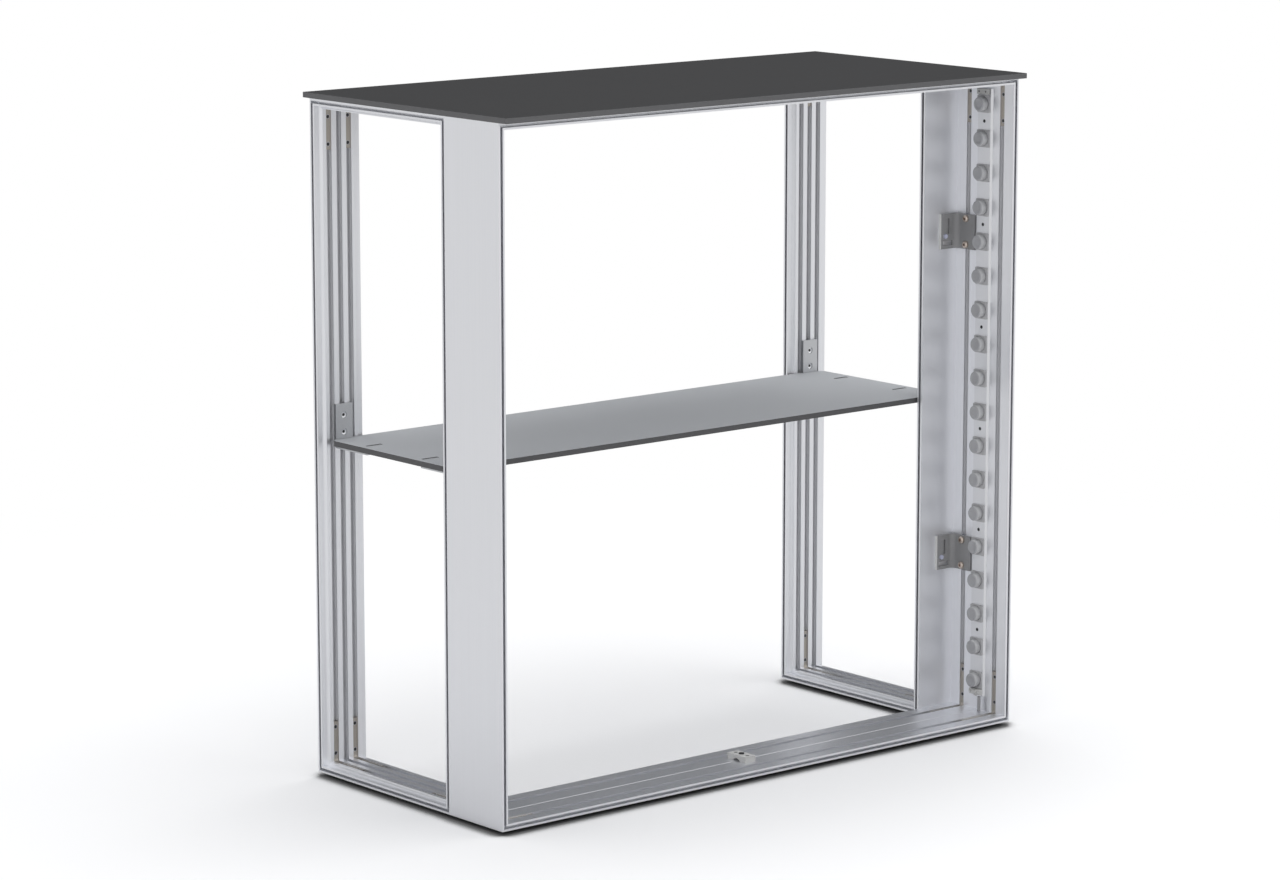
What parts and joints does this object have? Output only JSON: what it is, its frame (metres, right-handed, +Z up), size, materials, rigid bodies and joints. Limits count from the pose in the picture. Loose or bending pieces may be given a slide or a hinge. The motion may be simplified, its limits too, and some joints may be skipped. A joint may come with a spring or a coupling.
{
  "type": "illuminated counter",
  "caption": "Exhibition counter of slotted aluminium extrusions: a light box in front lined with LED strips, open end frames, a thin top board and a shelf that slides up and down in the slots.",
  "frame": {"origin": "centre of the counter's footprint on the floor, under the glides", "axes": "+X along the counter to the right seen from the front, +Y to the open back, +Z up"},
  "size_m": [1, 0.474, 1.014],
  "materials": {
    "profile": "natural anodised, satin",
    "counter_board": "matt dark grey laminate",
    "shelf_board": "silver grey laminate with a dark core",
    "connector": "zinc plated",
    "zinc_screw": "zinc plated",
    "bronze_screw": "yellow zinc",
    "bracket": "dark grey, satin",
    "support": "silver grey, satin",
    "led_bar": "satin",
    "led_module": "matt",
    "led_lens": "moulded, gloss",
    "pale_plastic": "moulded, matt",
    "lead": "grey sheath",
    "glide": "matt black"
  },
  "bodies": {
    "counter": {"bridge_clip": "pale_plastic", "bridge_clip_centre_screw": "zinc_screw", "bridge_clip_screws": "zinc_screw", "counter_top_board": "counter_board", "counter_top_screws": "zinc_screw", "front_left_glide": "glide", "front_right_glide": "glide", "join_bracket_slot_nuts": "connector", "join_bracket_slot_screws": "bronze_screw", "left_end_bottom_rail": "profile", "left_end_corner_connectors": "connector", "left_end_front_upright": "profile", "left_end_grub_screws": "zinc_screw", "left_end_rear_upright": "profile", "left_end_top_rail": "profile", "left_join_bracket_wall_screws": "zinc_screw", "left_led_bar": "led_bar", "left_led_bar_screws": "zinc_screw", "left_led_end_clip": "pale_plastic", "left_led_lead": "lead", "left_led_lenses": "led_lens", "left_led_modules": "led_module", "left_led_plug": "pale_plastic", "left_lower_join_bracket": "bracket", "left_upper_join_bracket": "bracket", "light_box_bottom_rail": "profile", "light_box_corner_connectors": "connector", "light_box_grub_screws": "zinc_screw", "light_box_left_upright": "profile", "light_box_right_upright": "profile", "light_box_top_rail": "profile", "rear_left_glide": "glide", "rear_right_glide": "glide", "right_end_bottom_rail": "profile", "right_end_corner_connectors": "connector", "right_end_front_upright": "profile", "right_end_grub_screws": "zinc_screw", "right_end_rear_upright": "profile", "right_end_top_rail": "profile", "right_join_bracket_wall_screws": "zinc_screw", "right_led_bar": "led_bar", "right_led_bar_screws": "zinc_screw", "right_led_end_clip": "pale_plastic", "right_led_lead": "lead", "right_led_lenses": "led_lens", "right_led_modules": "led_module", "right_led_plug": "pale_plastic", "right_lower_join_bracket": "bracket", "right_upper_join_bracket": "bracket"},
    "shelf": {"shelf_board": "shelf_board", "shelf_support_front_left": "support", "shelf_support_front_right": "support", "shelf_support_nuts": "connector", "shelf_support_rear_left": "support", "shelf_support_rear_right": "support", "shelf_support_screws": "zinc_screw"}
  },
  "joints": [
    {"name": "shelf_height", "type": "slide", "parent": "counter", "child": "shelf", "axis": [0, 0, 1], "range_m": [-0.42, 0.375]}
  ]
}
